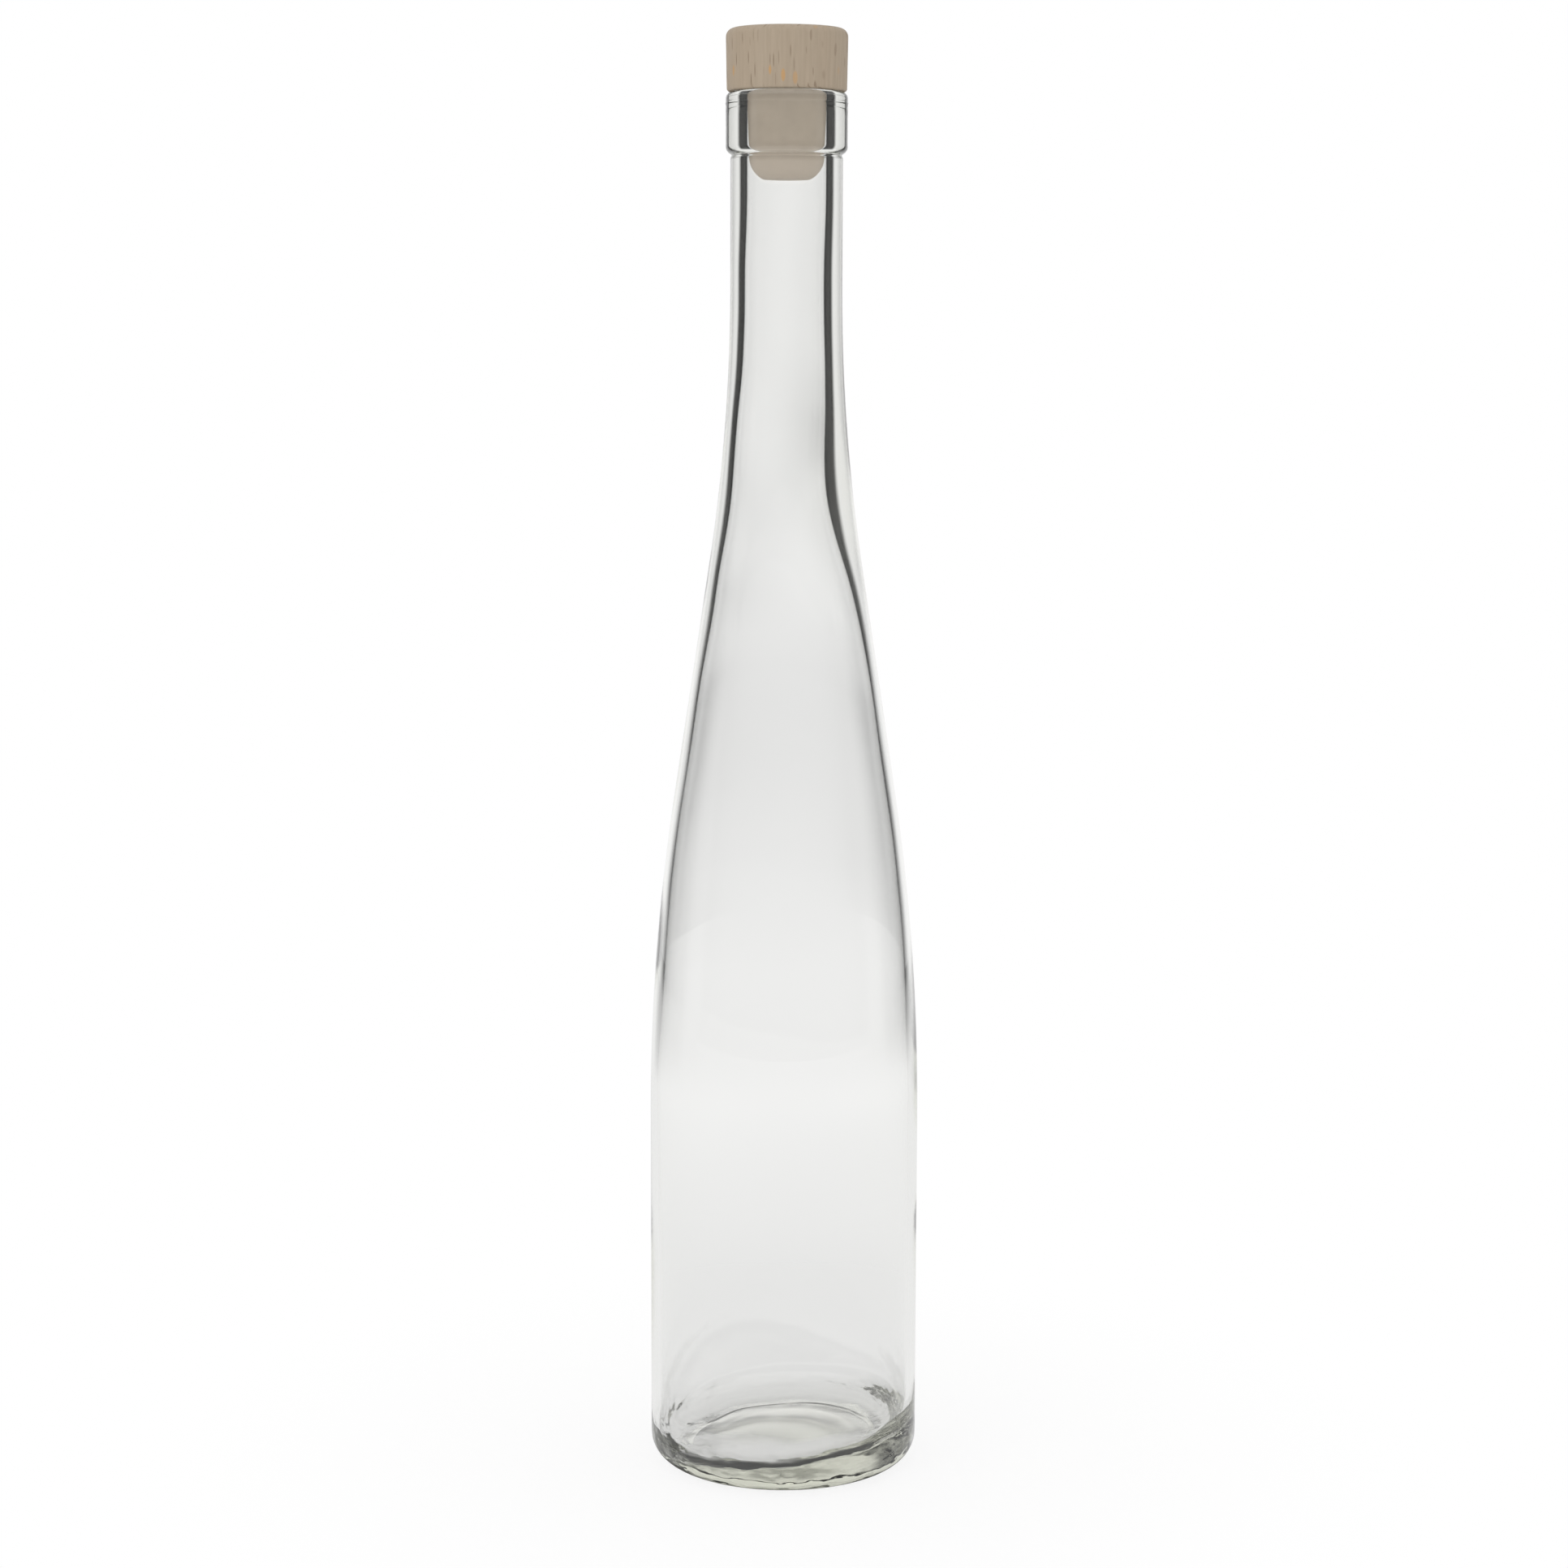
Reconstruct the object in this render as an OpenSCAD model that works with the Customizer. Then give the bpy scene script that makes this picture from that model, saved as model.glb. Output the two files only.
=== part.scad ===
// A slender clear-glass bottle for half a litre, with a cork mouth and a push-in stopper.
// The stopper is a turned wooden head glued onto the spigot of a moulded shank.
// Millimetres. Z is up, and the origin is the middle of the ring that the bottle stands on.

/* [Bottle outline] */
// Height of the glass, from the table to the top of the lip
glass_h = 327.5; // [315:0.5:360]
// Outside diameter of the straight body
body_d = 64.4; // [60:0.2:70]
// Length of the straight neck, from the shoulder to the groove under the band
neck_l = 34; // [20:1:50]
// Radius of the convex curve that starts the shoulder
shoulder_r = 455; // [300:5:500]
// Angle of the straight taper in the middle of the shoulder, off vertical
taper_angle = 8.4; // [7.8:0.1:10]
// Radius of the concave curve that runs out into the neck
flare_r = 435; // [300:5:500]
// Outside diameter of the neck
neck_d = 27.4; // [26:0.1:28.4]

/* [Mouth] */
// Outside diameter of the band around the mouth
band_d = 29.4; // [28.8:0.1:31]
// Height of the band, from the groove under it to the top of the lip
band_h = 14.6; // [12:0.1:20]
// Radius of the band's lower edge
band_edge_r = 1.9; // [0.6:0.1:2.4]
// Slope of the band's underside, off vertical
band_angle = 62; // [50:1:70]
// Depth of the groove under the band, in from the neck
groove_in = 0.25; // [0.1:0.05:0.5]
// Radius of the groove's curves
groove_r = 0.4; // [0.2:0.05:0.5]
// Slope of the groove's lower side, off vertical
groove_angle = 35; // [25:1:45]
// Radius of the lip's outer edge
lip_r = 1.6; // [1:0.1:3]
// Radius of the lip's inner edge
mouth_edge_r = 0.8; // [0.4:0.1:1.2]
// Diameter of the bore that takes the stopper
bore_d = 18.5; // [17.5:0.1:19.5]

/* [Glass thickness] */
// Wall of the straight body
body_wall = 2.3; // [1.8:0.1:3.2]
// Wall of the shoulder, where the glass is thinnest
shoulder_wall = 1.8; // [1.4:0.1:2.6]
// Glass between the inside floor and the punt, on the axis
base_t = 5.6; // [4:0.1:8]
// Height of the lowest ring of the inside floor above the table
floor_h = 6.2; // [5:0.1:8]

/* [Base] */
// Radius of the heel, between the side and the standing ring
heel_r = 5.4; // [4:0.1:7]
// Width of the flat ring that the bottle stands on
standing_w = 2.2; // [1.6:0.1:3]
// Rise of the punt's flat ledge above the table
punt_h = 3; // [2:0.1:4]
// Radius of the two curves of the punt's side
punt_edge_r = 1.6; // [0.8:0.1:2]
// Slope of the punt's side, off the table
punt_angle = 45; // [40:1:60]
// Width of the ledge between the punt's side and its dome
ledge_w = 2; // [0.5:0.1:4]
// Rise of the shallow dome in the middle
punt_crown = 0.8; // [0.4:0.1:1.6]
// Radius between the inside wall and the inside floor
floor_edge_r = 8; // [5:0.5:10]

/* [Stopper head] */
// Diameter of the head at its top edge
head_d = 29.3; // [27:0.1:29.4]
// Height of the head
head_h = 15.6; // [12:0.1:22]
// How much narrower the head is at its underside
head_taper = 0.5; // [0:0.1:1]
// Radius of the head's top edge
head_edge_r = 2; // [1:0.1:3]
// Radius of the head's bottom edge
head_foot_r = 0.6; // [0.3:0.1:1.2]
// Rise of the head's slightly domed top
head_crown = 0.3; // [0.1:0.1:0.8]

/* [Stopper shank] */
// Length of the shank below the head
shank_l = 20.6; // [16:0.1:28]
// Gap between the shank and the bore, all round
shank_gap = 0.05; // [0.02:0.01:0.1]
// Radius of the shank's lower edge
shank_edge_r = 5.6; // [3:0.1:8]
// Angle that this edge turns through before the flat lower end
shank_edge_angle = 66; // [50:1:80]
// Diameter of the spigot that is glued into the head
spigot_d = 12; // [9:0.5:14]
// Length of the spigot
spigot_l = 6.6; // [5:0.1:9]
// Chamfer on the spigot's end
spigot_chamfer = 0.8; // [0.4:0.1:1.2]
// Thickness of the glue round the spigot and over its end
glue_t = 0.25; // [0.15:0.05:0.4]

/* [Hidden] */
$fn = 128;

// Radii from the diameters above
body_r = body_d / 2;
neck_r = neck_d / 2;
band_r = band_d / 2;
bore_r = bore_d / 2;
head_r = head_d / 2;
spigot_r = spigot_d / 2;
shank_r = bore_r - shank_gap;

// Number of steps along each kind of curve
edge_steps = 8;
dome_steps = 5;
floor_steps = 10;
shoulder_steps = 48;

// The shoulder: a convex arc, a straight taper and a concave arc, tangent to each other
convex_h = shoulder_r * sin(taper_angle);
convex_in = shoulder_r * (1 - cos(taper_angle));
concave_h = flare_r * sin(taper_angle);
concave_in = flare_r * (1 - cos(taper_angle));
taper_in = body_r - neck_r - convex_in - concave_in;
taper_h = taper_in / tan(taper_angle);
shoulder_h = convex_h + taper_h + concave_h;
body_h = glass_h - band_h - neck_l - shoulder_h;

// Where the wall changes, as shares of the shoulder's height: it thins from the body to
// the first, stays thin to the second, and has the full neck's thickness from the third
thin_from_share = 0.26;
thin_to_share = 0.54;
thick_from_share = 0.8;
neck_wall = neck_r - bore_r;

// The groove's floor, and the band's lower edge, no rounder than its step has room for
groove_floor_r = neck_r - groove_in;
groove_curve_r = min(groove_r, groove_in / (1 - cos(groove_angle)) / 2);
band_room_r = (band_r - groove_floor_r) / (1 - cos(band_angle));
band_round_r = min(band_edge_r, band_room_r - groove_curve_r);
groove_top_h = glass_h - band_h;

// The base, from the outside in
standing_out_r = body_r - heel_r;
standing_in_r = standing_out_r - standing_w;
punt_side_w = bend_rise(punt_h, punt_edge_r, punt_edge_r, punt_angle);
dome_r = standing_in_r - punt_side_w - ledge_w;
punt_top_h = punt_h + punt_crown;
cavity_r = body_r - body_wall;
floor_r = cavity_r - floor_edge_r;
floor_top_h = punt_top_h + base_t;

// The stopper's seat and its socket
seat_h = glass_h;
socket_r = spigot_r + glue_t;
socket_l = spigot_l + glue_t;

// 0 at and below t = 0, 1 at and above t = 1, and a smooth rise between them
function ease(t) = t <= 0 ? 0 : t >= 1 ? 1 : t * t * (3 - 2 * t);

// Points on an arc about [cx, cy], from angle a0 to angle a1
function arc(cx, cy, r, a0, a1, steps = edge_steps) =
    [for (i = [0 : steps]) let (a = a0 + (a1 - a0) * i / steps) [cx + r * cos(a), cy + r * sin(a)]];

// How far an S-bend runs along y while it steps sideways
function bend_rise(step, r0, r1, a) = (r0 + r1) * sin(a) + (step - (r0 + r1) * (1 - cos(a))) / tan(a);

// An S-bend in a path that runs along y and steps from x0 to x1. It leaves and arrives
// parallel to y, by arcs of radius r0 and r1 with a straight at angle a between them
function s_bend(x0, x1, y0, r0, r1, a) =
    let (way = x1 > x0 ? 1 : -1,
         y1 = y0 + bend_rise(abs(x1 - x0), r0, r1, a))
    concat([for (i = [0 : edge_steps]) let (t = a * i / edge_steps)
                [x0 + way * r0 * (1 - cos(t)), y0 + r0 * sin(t)]],
           [for (i = [edge_steps : -1 : 0]) let (t = a * i / edge_steps)
                [x1 - way * r1 * (1 - cos(t)), y1 - r1 * sin(t)]]);

// A shallow dome over radius r: its points from the rim to the axis, rising from y by crown
function dome(r, y, crown) =
    let (ball = (r * r + crown * crown) / (2 * crown), half = asin(r / ball))
    [for (i = [0 : dome_steps]) let (t = half * (1 - i / dome_steps))
        [ball * sin(t), y + crown - ball * (1 - cos(t))]];

// Outside radius of the shoulder at height z
function shoulder_radius(z) =
    let (up = z - body_h, down = shoulder_h - up)
    up <= convex_h ? body_r - shoulder_r + sqrt(shoulder_r * shoulder_r - up * up)
    : down >= concave_h ? body_r - convex_in - (up - convex_h) * tan(taper_angle)
    : neck_r + flare_r - sqrt(flare_r * flare_r - down * down);

// Thickness of the wall at height z, from the straight body to the neck
function wall(z) =
    let (share = (z - body_h) / shoulder_h,
         thinning = ease(share / thin_from_share),
         thickening = ease((share - thin_to_share) / (thick_from_share - thin_to_share)))
    body_wall + (shoulder_wall - body_wall) * thinning + (neck_wall - shoulder_wall) * thickening;

// Heights along the shoulder, its two ends included
shoulder_heights = [for (i = [0 : shoulder_steps]) body_h + shoulder_h * i / shoulder_steps];

// Outline of the punt and the standing ring, from the axis outwards
function underside() =
    let (side = s_bend(0, punt_h, 0, punt_edge_r, punt_edge_r, punt_angle),
         middle = dome(dome_r, punt_h, punt_crown))
    concat([for (i = [dome_steps : -1 : 0]) middle[i]],
           [for (i = [len(side) - 1 : -1 : 0]) [standing_in_r - side[i][1], side[i][0]]]);

// Outline of the outside, from the standing ring up to the lip
function outside() =
    concat(arc(standing_out_r, heel_r, heel_r, -90, 0),
           [for (z = shoulder_heights) [shoulder_radius(z), z]],
           s_bend(neck_r, groove_floor_r, groove_top_h - bend_rise(groove_in, groove_curve_r,
                  groove_curve_r, groove_angle), groove_curve_r, groove_curve_r, groove_angle),
           s_bend(groove_floor_r, band_r, groove_top_h, groove_curve_r, band_round_r, band_angle),
           arc(band_r - lip_r, seat_h - lip_r, lip_r, 0, 90));

// Outline of the inside, from the lip down to the floor's middle
function inside() =
    concat(arc(bore_r + mouth_edge_r, seat_h - mouth_edge_r, mouth_edge_r, 90, 180),
           [for (i = [shoulder_steps : -1 : 0])
               let (z = shoulder_heights[i]) [shoulder_radius(z) - wall(z), z]],
           arc(floor_r, floor_h + floor_edge_r, floor_edge_r, 0, -90),
           [for (i = [floor_steps - 1 : -1 : 0])
               let (share = i / floor_steps)
               [floor_r * share, floor_h + (floor_top_h - floor_h) * ease(1 - share)]]);

// The glass: one moulded piece with its mouth, shoulder, heel and punt
module bottle_glass() {
    color("#dfe6e1", 0.45)
    rotate_extrude()
    polygon(concat(underside(), outside(), inside()));
}

// The wooden head: a turned disc with a blind socket in its underside
module stopper_head() {
    foot_r = head_r - head_taper / 2;
    rim_r = head_r - head_edge_r;
    top_h = seat_h + head_h;
    rim_h = top_h - head_crown;
    color("#ab9f8e")
    difference() {
        rotate_extrude()
        polygon(concat([[0, seat_h]],
                       arc(foot_r - head_foot_r, seat_h + head_foot_r, head_foot_r, -90, 0),
                       arc(rim_r, rim_h - head_edge_r, head_edge_r, 0, 90),
                       [for (i = [1 : dome_steps]) dome(rim_r, rim_h, head_crown)[i]]));
        translate([0, 0, seat_h - glue_t])
        cylinder(r = socket_r, h = socket_l + glue_t);
    }
}

// The moulded shank: a plug that curves in to a flat lower end, and a spigot for the head
module stopper_shank() {
    end_h = seat_h - shank_l;
    curve_h = end_h + shank_edge_r * sin(shank_edge_angle);
    tip_h = seat_h + spigot_l;
    color("#b0a493")
    rotate_extrude()
    polygon(concat([[0, end_h]],
                   arc(shank_r - shank_edge_r, curve_h, shank_edge_r, -shank_edge_angle, 0),
                   [[shank_r, seat_h], [spigot_r, seat_h],
                    [spigot_r, tip_h - spigot_chamfer], [spigot_r - spigot_chamfer, tip_h],
                    [0, tip_h]]));
}

// The glue: a thin cup that fills the gap between the spigot and its socket
module stopper_glue() {
    tip_h = seat_h + spigot_l;
    color("#d8cfae")
    rotate_extrude()
    polygon([[spigot_r, seat_h], [socket_r, seat_h], [socket_r, seat_h + socket_l],
             [0, seat_h + socket_l], [0, tip_h], [spigot_r - spigot_chamfer, tip_h],
             [spigot_r, tip_h - spigot_chamfer]]);
}

bottle_glass();
stopper_head();
stopper_shank();
stopper_glue();
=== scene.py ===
# %% [markdown]
# # A clear glass bottle with a wooden-headed stopper
#
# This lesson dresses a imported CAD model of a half-litre bottle. The CAD model is the frame: it
# says where every piece is and how the stopper moves. Blender adds what the eye sees: glass with
# a wall that is never quite even, beech with its flecks, and a matt moulded plug.
#
# Everything is in metres, +Z is up, and the origin is the middle of the ring that the bottle
# stands on. Run the cells from the top.

# %% Load the frame
import math

import bpy
import mathutils
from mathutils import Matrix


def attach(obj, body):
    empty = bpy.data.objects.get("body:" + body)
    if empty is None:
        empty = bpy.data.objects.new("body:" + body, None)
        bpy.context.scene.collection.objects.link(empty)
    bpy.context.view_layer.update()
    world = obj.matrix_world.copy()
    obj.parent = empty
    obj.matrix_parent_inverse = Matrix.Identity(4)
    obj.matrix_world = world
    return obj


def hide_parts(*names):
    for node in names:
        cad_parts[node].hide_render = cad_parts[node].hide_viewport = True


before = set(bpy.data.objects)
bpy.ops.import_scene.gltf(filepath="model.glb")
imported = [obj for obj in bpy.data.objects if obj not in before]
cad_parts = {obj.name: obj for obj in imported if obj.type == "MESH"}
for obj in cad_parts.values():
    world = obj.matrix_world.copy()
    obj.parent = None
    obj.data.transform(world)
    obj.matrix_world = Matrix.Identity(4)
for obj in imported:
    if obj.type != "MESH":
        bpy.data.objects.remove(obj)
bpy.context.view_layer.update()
MM = 0.001

# %% [markdown]
# ## Small helpers
#
# An operator works on whatever is selected, and the loader leaves the CAD nodes selected. So the
# first helper clears the selection and picks one piece. Colours are written as sRGB hex, as a
# paint chart would give them, and one function turns them into the linear values that a shader
# wants. One function adds a node, sets it up and links it, and every material below uses it.

# %% Select one piece
def only(piece):
    """Selects one object and makes it the active one."""
    bpy.ops.object.select_all(action="DESELECT")
    piece.select_set(True)
    bpy.context.view_layer.objects.active = piece


def cleared():
    """Clears the selection, before a primitive is added."""
    if bpy.context.mode != "OBJECT":
        bpy.ops.object.mode_set(mode="OBJECT")
    bpy.ops.object.select_all(action="DESELECT")


# %% Colours from hex
def linear(hex_colour, alpha=1.0):
    """An sRGB hex colour as linear red, green, blue and alpha."""
    parts = [int(hex_colour[i:i + 2], 16) / 255 for i in (1, 3, 5)]
    return (*[p / 12.92 if p <= 0.04045 else ((p + 0.055) / 1.055) ** 2.4 for p in parts], alpha)


# %% Add one node
def add_node(tree, kind, settings=None, inputs=None):
    """Adds a shader node, applies its settings, and fills or links its inputs."""
    made = tree.nodes.new("ShaderNode" + kind)
    for name, value in (settings or {}).items():
        setattr(made, name, value)
    for socket, value in (inputs or {}).items():
        if isinstance(value, bpy.types.NodeSocket):
            tree.links.new(value, made.inputs[socket])
        else:
            made.inputs[socket].default_value = value
    return made


# %% Start a material
def new_material(name):
    """An empty node material, and its tree."""
    material = bpy.data.materials.new(name)
    material.use_nodes = True
    material.node_tree.nodes.clear()
    return material, material.node_tree


# %% Greys along a ramp
def set_levels(ramp, stops, lowest, highest):
    """Sets a ramp's greys from pairs of a place, between lowest and highest, and a brightness."""
    elements = ramp.color_ramp.elements
    elements.remove(elements[-1])
    for i, (place, level) in enumerate(stops):
        share = (place - lowest) / (highest - lowest)
        stop = elements.new(share) if i else elements[0]
        stop.position = share
        stop.color = (level, level, level, 1)


# %% How far aside a direction points
def aside_share(tree, vector):
    """0 straight behind the bottle and 1 straight in front of it, from a vector's X and Y."""
    axes = add_node(tree, "SeparateXYZ", inputs={"Vector": vector})
    turned = add_node(tree, "Math", {"operation": "ARCTAN2"},
                      {0: axes.outputs["X"], 1: axes.outputs["Y"]})
    aside = add_node(tree, "Math", {"operation": "ABSOLUTE"}, {0: turned.outputs[0]})
    share = add_node(tree, "Math", {"operation": "DIVIDE"}, {0: aside.outputs[0], 1: math.pi})
    return share.outputs[0]


# %% What a ray has been through
def has_been(tree, path, depth):
    """1 for a ray that has been through one event or more of a kind, and otherwise 0."""
    counted = add_node(tree, "Math", {"operation": "GREATER_THAN"}, {0: path.outputs[depth], 1: 0.5})
    return counted.outputs[0]


# %% [markdown]
# ## The camera
#
# The photograph looks slightly down on the bottle: the base is seen from 19 degrees above, and
# the head from 5 degrees below its own level. Those two angles fix where the camera stands, and
# the framing then fixes the lens and the tilt. There is no lens shift, so that the same camera
# also frames the bottle from every other side.

# %% Camera at the photograph's viewing angle
CAMERA_DISTANCE = 0.788
CAMERA_HEIGHT = 0.274
CAMERA_ASIDE = -0.00053
CAMERA_TILT = 7.841
CAMERA_ROLL = -0.16
PHOTO_WIDTH_PX = 1932
LENS_PX = 4109
SENSOR_MM = 36

camera_data = bpy.data.cameras.new("camera")
camera_data.sensor_width = SENSOR_MM
camera_data.lens = LENS_PX / PHOTO_WIDTH_PX * SENSOR_MM
camera = bpy.data.objects.new("camera", camera_data)
camera.location = (CAMERA_ASIDE, -CAMERA_DISTANCE, CAMERA_HEIGHT)
camera.rotation_euler = (math.radians(90 - CAMERA_TILT), math.radians(CAMERA_ROLL), 0)
bpy.context.scene.collection.objects.link(camera)
bpy.context.scene.camera = camera
print("lens", round(camera_data.lens, 2), "mm")

# %% [markdown]
# ## The room that the glass sees
#
# Clear glass has no colour of its own to show. Its edges are drawn by what it bends into view: a
# ray that grazes the inner wall is thrown 40 to 65 degrees aside and brings back whatever stands
# there. A photographer puts a white sheet behind the bottle and keeps the rest of the room dark,
# and the bottle gets thin dark outlines. The world below is that room, written as brightness
# against the angle away from straight behind the bottle. Rays that pass straight through see the
# white sheet, rays that have bounced see the room, and matt surfaces are lit by an even sky.

# %% The dark room, for a ray that has bounced
# Degrees off straight behind the bottle, and the brightness that a bounced ray meets there
ROOM_STOPS = [(0, 0.96), (27, 0.92), (32, 0.55), (37, 0.12), (40, 0.02), (78, 0.02), (84, 0.3),
              (98, 0.3), (104, 0.05), (180, 0.05)]
# The dark cards end this many degrees above the horizon, and the room is bright from the second
CARD_TOP, CEILING_FROM = 24, 30
CEILING_LEVEL = 0.9
HALF_TURN, QUARTER_TURN = 180, 90

scene = bpy.context.scene
world = bpy.data.worlds.new("photo_room")
scene.world = world
world.use_nodes = True
world.cycles.sampling_method = "NONE"
tree = world.node_tree
tree.nodes.clear()
direction = add_node(tree, "TexCoord").outputs["Generated"]
aside = aside_share(tree, direction)
room = add_node(tree, "ValToRGB", inputs={"Fac": aside})
set_levels(room, ROOM_STOPS, 0, HALF_TURN)
axes = add_node(tree, "SeparateXYZ", inputs={"Vector": direction})
risen = add_node(tree, "Math", {"operation": "ARCSINE"}, {0: axes.outputs["Z"]})
above = add_node(tree, "MapRange", {"interpolation_type": "SMOOTHSTEP"},
                 {"Value": risen.outputs[0], "From Min": math.radians(CARD_TOP),
                  "From Max": math.radians(CEILING_FROM)})
whole_room = add_node(tree, "Mix", {"data_type": "RGBA"},
                      {"Factor": above.outputs[0], "A": room.outputs["Color"],
                       "B": (CEILING_LEVEL, CEILING_LEVEL, CEILING_LEVEL, 1)})
print("room stops", len(ROOM_STOPS))

# %% The white sheets, for a ray that goes straight through
# Degrees above the horizon, and the brightness of the sheets there
SHEET_STOPS = [(-90, 0.95), (-11, 0.95), (-10.1, 0.93), (-8.8, 0.89), (-6.9, 0.858), (-4, 0.872),
               (-2.6, 0.915), (-1.4, 0.965), (0, 1.0), (90, 1.0)]
# Degrees off straight behind, and how much of that brightness is left there
FALL_STOPS = [(0, 1.0), (2, 0.99), (4, 0.96), (7, 0.9), (11, 0.86), (16, 0.84), (40, 0.84), (180, 0.84)]
# Degrees above the horizon, and how much of that fall is felt there
FELT_STOPS = [(-90, 0.2), (-13, 0.25), (-9, 0.7), (-6, 0.9), (-4, 0.75), (-2.5, 0.4), (-1, 0.3),
              (3, 0.3), (90, 0.3)]

rise_share = add_node(tree, "MapRange", inputs={"Value": risen.outputs[0], "From Min": -math.pi / 2,
                                                "From Max": math.pi / 2})
sheet_rise = add_node(tree, "ValToRGB", inputs={"Fac": rise_share.outputs[0]})
set_levels(sheet_rise, SHEET_STOPS, -QUARTER_TURN, QUARTER_TURN)
sheet_fall = add_node(tree, "ValToRGB", inputs={"Fac": aside})
set_levels(sheet_fall, FALL_STOPS, 0, HALF_TURN)
felt = add_node(tree, "ValToRGB", inputs={"Fac": rise_share.outputs[0]})
set_levels(felt, FELT_STOPS, -QUARTER_TURN, QUARTER_TURN)
sheet = add_node(tree, "Mix", {"data_type": "RGBA", "blend_type": "MULTIPLY"},
                 {"Factor": felt.outputs["Color"], "A": sheet_rise.outputs["Color"],
                  "B": sheet_fall.outputs["Color"]})
print("sheet stops", len(SHEET_STOPS), len(FALL_STOPS), len(FELT_STOPS))

# %% The even sky, and which ray meets what
SKY_LEVEL = 0.95
# The lamp can't reach a matt surface through glass, so the sky is brighter for one that stands in glass
SKY_THROUGH_GLASS = 1.26

path = add_node(tree, "LightPath")
through = add_node(tree, "Mix", {"data_type": "RGBA"},
                   {"Factor": path.outputs["Is Camera Ray"], "A": sheet.outputs["Result"], "B": (1, 1, 1, 1)})
seen = add_node(tree, "Mix", {"data_type": "RGBA"},
                {"Factor": has_been(tree, path, "Glossy Depth"), "A": through.outputs["Result"],
                 "B": whole_room.outputs["Result"]})
sky = add_node(tree, "Mix", {"data_type": "RGBA"},
               {"Factor": has_been(tree, path, "Transmission Depth"),
                "A": (SKY_LEVEL, SKY_LEVEL, SKY_LEVEL, 1),
                "B": (SKY_THROUGH_GLASS, SKY_THROUGH_GLASS, SKY_THROUGH_GLASS, 1)})
light = add_node(tree, "Mix", {"data_type": "RGBA"},
                 {"Factor": has_been(tree, path, "Diffuse Depth"), "A": seen.outputs["Result"],
                  "B": sky.outputs["Result"]})
background = add_node(tree, "Background", inputs={"Color": light.outputs["Result"], "Strength": 1.0})
add_node(tree, "OutputWorld", inputs={"Surface": background.outputs[0]})
print("world", len(tree.nodes), "nodes")

# %% [markdown]
# ## The table
#
# A white disc under the bottle. Near the bottle part of its brightness is real, so that the
# contact shadow stays, and further out it glows as white as the sheet behind, so that its edge
# never shows. A ray through the glass, or bounced off it, sees a glow with painted shade in it,
# darker near and under the bottle. What bounces off the glass towards the camera's side sees a
# greyer table, a painted light as it would be in front of a photographer's lights.

# %% Cut the table top
TABLE_RADIUS = 0.75
TABLE_SIDES = 128

cleared()
bpy.ops.mesh.primitive_circle_add(vertices=TABLE_SIDES, radius=TABLE_RADIUS, fill_type="NGON",
                                  location=(0, 0, 0))
table_top = bpy.context.object
table_top.name = "table_top"
material, tree = new_material("matt_white_table")
table_top.data.materials.append(material)
material.cycles.emission_sampling = "NONE"
print("table radius", TABLE_RADIUS)

# %% What a straight ray through the glass sees of it
# Metres from the bottle, and the brightness of the glow there, with the bottle's own shade painted in
TABLE_BACK_PAINTED_SHADE_STOPS = [(0.0, 0.7), (0.016, 0.7), (0.022, 0.62), (0.031, 0.62), (0.045, 0.75), (0.1, 0.775),
                    (0.22, 0.85), (0.38, 0.925), (0.5, 0.95), (0.61, 0.955), (0.75, 0.93)]

place = add_node(tree, "TexCoord").outputs["Object"]
far = add_node(tree, "VectorMath", {"operation": "LENGTH"}, {0: place}).outputs["Value"]
distance = add_node(tree, "Math", {"operation": "DIVIDE"}, {0: far, 1: TABLE_RADIUS})
back = add_node(tree, "ValToRGB", inputs={"Fac": distance.outputs[0]})
set_levels(back, TABLE_BACK_PAINTED_SHADE_STOPS, 0, TABLE_RADIUS)
path = add_node(tree, "LightPath")
# A camera ray sees plain white, and a ray through the glass sees the glow with its painted shade
straight = add_node(tree, "Mix", inputs={"Factor": path.outputs["Is Camera Ray"], "A": back.outputs["Color"],
                                         "B": 1.0})
print("table stops", len(TABLE_BACK_PAINTED_SHADE_STOPS))

# %% What a bounced ray sees of it
# Painted light and shade: this bright nearby, and further out as bright as the room over that
# edge of the table, except that the camera's side has painted light, as if lit by the photographer's lights
TABLE_NEAR_LEVEL = 0.85
TABLE_NEAR_TO, TABLE_FAR_FROM = 0.45, 0.7
TABLE_ROUND_PAINTED_STOPS = ROOM_STOPS[:-2] + [(104, 0.4), (180, 0.5)]
# Painted shade under the bottle, where little light gets in: this bright up to the first distance, and open
# at the second
TABLE_UNDER_PAINTED_SHADE = 0.04
TABLE_UNDER_TO, TABLE_OPEN_FROM = 0.028, 0.036

painted_edge_room = add_node(tree, "ValToRGB", inputs={"Fac": aside_share(tree, place)})
set_levels(painted_edge_room, TABLE_ROUND_PAINTED_STOPS, 0, HALF_TURN)
outwards = add_node(tree, "MapRange", {"interpolation_type": "SMOOTHSTEP"},
                    {"Value": far, "From Min": TABLE_NEAR_TO, "From Max": TABLE_FAR_FROM})
painted_under_shade = add_node(tree, "MapRange", {"interpolation_type": "SMOOTHSTEP"},
                      {"Value": far, "From Min": TABLE_UNDER_TO, "From Max": TABLE_OPEN_FROM,
                       "To Min": TABLE_UNDER_PAINTED_SHADE, "To Max": TABLE_NEAR_LEVEL})
# What a bounced ray sees: the painted shade under the bottle, and painted light and shade further out
painted_bounce_glow = add_node(tree, "Mix", {"data_type": "RGBA"},
                  {"Factor": outwards.outputs[0], "A": painted_under_shade.outputs[0],
                   "B": painted_edge_room.outputs["Color"]})
print("dark under the bottle to", TABLE_UNDER_TO)

# %% Paint and glow
TABLE_PAINT = "#f8f8f8"
# The share that is lit like any paint, near the bottle, and where it fades out
TABLE_LIT_SHARE = 0.16
TABLE_FADE_FROM, TABLE_FADE_TO = 0.04, 0.17

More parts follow.
